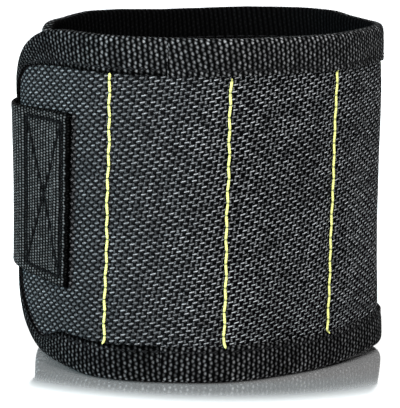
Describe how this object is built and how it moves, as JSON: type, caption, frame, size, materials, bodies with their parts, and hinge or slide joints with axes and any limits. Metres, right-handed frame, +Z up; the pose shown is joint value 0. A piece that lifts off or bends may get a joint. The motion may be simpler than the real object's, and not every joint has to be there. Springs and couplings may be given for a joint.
{
  "type": "magnetic wristband",
  "caption": "Padded cloth wristband with sewn pockets of flat magnets that hold small steel hardware, bound edges, and a hook-and-loop strap that closes it round the wrist.",
  "frame": {"origin": "on the supporting surface, under the middle of the closed band's box", "axes": "+Z up along the band's height, +X to the right and +Y to the back as seen from the pocket side, with the end flap at -X"},
  "size_m": [0.0998, 0.0802, 0.09],
  "materials": {
    "shell_cloth": "coarse ballistic plain weave, semi-matt, blue-black with light flecks on the yarn crowns",
    "binding_tape": "matt ribbed grosgrain tape, charcoal",
    "lining_mesh": "matt black air mesh over thin foam",
    "yellow_thread": "bright yellow twisted sewing thread",
    "magnet_plating": "nickel plating",
    "strap_webbing": "finely ribbed woven webbing, charcoal",
    "black_thread": "black sewing thread",
    "loop_pile": "brushed loop pile, black",
    "hook_tape": "moulded nylon hooks on a woven backing, black"
  },
  "bodies": {
    "pocket_1": {"pocket_1_shell": "shell_cloth", "pocket_1_lining": "lining_mesh", "pocket_1_magnet_bottom": "magnet_plating", "pocket_1_magnet_middle": "magnet_plating", "pocket_1_magnet_top": "magnet_plating", "pocket_1_binding_bottom": "binding_tape", "pocket_1_binding_top": "binding_tape", "stitch_line_1": "yellow_thread"},
    "pocket_2": {"pocket_2_shell": "shell_cloth", "pocket_2_lining": "lining_mesh", "pocket_2_magnet_bottom": "magnet_plating", "pocket_2_magnet_middle": "magnet_plating", "pocket_2_magnet_top": "magnet_plating", "pocket_2_binding_bottom": "binding_tape", "pocket_2_binding_top": "binding_tape", "stitch_line_2": "yellow_thread"},
    "pocket_3": {"pocket_3_shell": "shell_cloth", "pocket_3_lining": "lining_mesh", "pocket_3_magnet_bottom": "magnet_plating", "pocket_3_magnet_middle": "magnet_plating", "pocket_3_magnet_top": "magnet_plating", "pocket_3_binding_bottom": "binding_tape", "pocket_3_binding_top": "binding_tape", "stitch_line_3": "yellow_thread"},
    "pocket_4": {"pocket_4_shell": "shell_cloth", "pocket_4_lining": "lining_mesh", "pocket_4_magnet_bottom": "magnet_plating", "pocket_4_magnet_middle": "magnet_plating", "pocket_4_magnet_top": "magnet_plating", "pocket_4_binding_bottom": "binding_tape", "pocket_4_binding_top": "binding_tape", "stitch_line_4": "yellow_thread"},
    "pocket_5": {"pocket_5_shell": "shell_cloth", "pocket_5_lining": "lining_mesh", "pocket_5_magnet_bottom": "magnet_plating", "pocket_5_magnet_middle": "magnet_plating", "pocket_5_magnet_top": "magnet_plating", "pocket_5_binding_bottom": "binding_tape", "pocket_5_binding_top": "binding_tape", "stitch_line_5": "yellow_thread"},
    "loop_panel": {"stitch_line_6": "yellow_thread", "loop_panel_shell": "shell_cloth", "loop_panel_lining": "lining_mesh", "loop_panel_binding_bottom": "binding_tape", "loop_panel_binding_top": "binding_tape", "loop_patch": "loop_pile"},
    "end_flap": {"end_flap_shell": "shell_cloth", "end_flap_lining": "lining_mesh", "end_flap_binding": "binding_tape", "strap_sewn_end": "strap_webbing", "strap_box_stitch": "black_thread"},
    "inner_flap": {"inner_flap_shell": "shell_cloth", "inner_flap_lining": "lining_mesh", "inner_flap_binding": "binding_tape", "inner_flap_loop_patch": "loop_pile"},
    "strap_middle": {"strap_middle": "strap_webbing"},
    "strap_tail": {"strap_tail": "strap_webbing", "hook_tape": "hook_tape"}
  },
  "joints": [
    {"name": "band_open", "type": "hinge", "parent": "pocket_2", "child": "pocket_3", "pos_m": [0.03671, -0.01959, 0.045], "axis": [0, 0, -1], "range_deg": [0, 30]},
    {"name": "seam_2_flex", "type": "hinge", "parent": "pocket_2", "child": "pocket_1", "pos_m": [0.00817, -0.03862, 0.045], "axis": [0, 0, 1], "range_deg": [0, 34]},
    {"name": "seam_1_flex", "type": "hinge", "parent": "pocket_1", "child": "end_flap", "pos_m": [-0.02361, -0.03808, 0.045], "axis": [0, 0, 1], "range_deg": [0, 52]},
    {"name": "seam_4_flex", "type": "hinge", "parent": "pocket_3", "child": "pocket_4", "pos_m": [0.05005, 0.01085, 0.045], "axis": [0, 0, -1], "range_deg": [0, 60]},
    {"name": "seam_5_flex", "type": "hinge", "parent": "pocket_4", "child": "pocket_5", "pos_m": [0.03148, 0.03826, 0.045], "axis": [0, 0, -1], "range_deg": [0, 48]},
    {"name": "seam_6_flex", "type": "hinge", "parent": "pocket_5", "child": "loop_panel", "pos_m": [-0.00171, 0.03659, 0.045], "axis": [0, 0, -1], "range_deg": [0, 4]},
    {"name": "inner_flap_flex", "type": "hinge", "parent": "loop_panel", "child": "inner_flap", "pos_m": [-0.02978, 0.01877, 0.045], "axis": [0, 0, -1], "range_deg": [0, 24]},
    {"name": "strap_lift", "type": "hinge", "parent": "end_flap", "child": "strap_middle", "pos_m": [-0.05001, -0.00422, 0.045], "axis": [0, 0, 1], "range_deg": [0, 178]},
    {"name": "strap_tail_peel", "type": "hinge", "parent": "strap_middle", "child": "strap_tail", "pos_m": [-0.03497, 0.02018, 0.045], "axis": [0, 0, 1], "range_deg": [0, 80]}
  ],
  "couplings": [
    {"joint": "seam_2_flex", "follows": "band_open", "ratio": 1.1333},
    {"joint": "seam_1_flex", "follows": "band_open", "ratio": 1.7333},
    {"joint": "seam_4_flex", "follows": "band_open", "ratio": 1.9999},
    {"joint": "seam_5_flex", "follows": "band_open", "ratio": 1.5999},
    {"joint": "seam_6_flex", "follows": "band_open", "ratio": 0.1333},
    {"joint": "inner_flap_flex", "follows": "band_open", "ratio": 0.8},
    {"joint": "strap_lift", "follows": "band_open", "ratio": 5.9333}
  ]
}
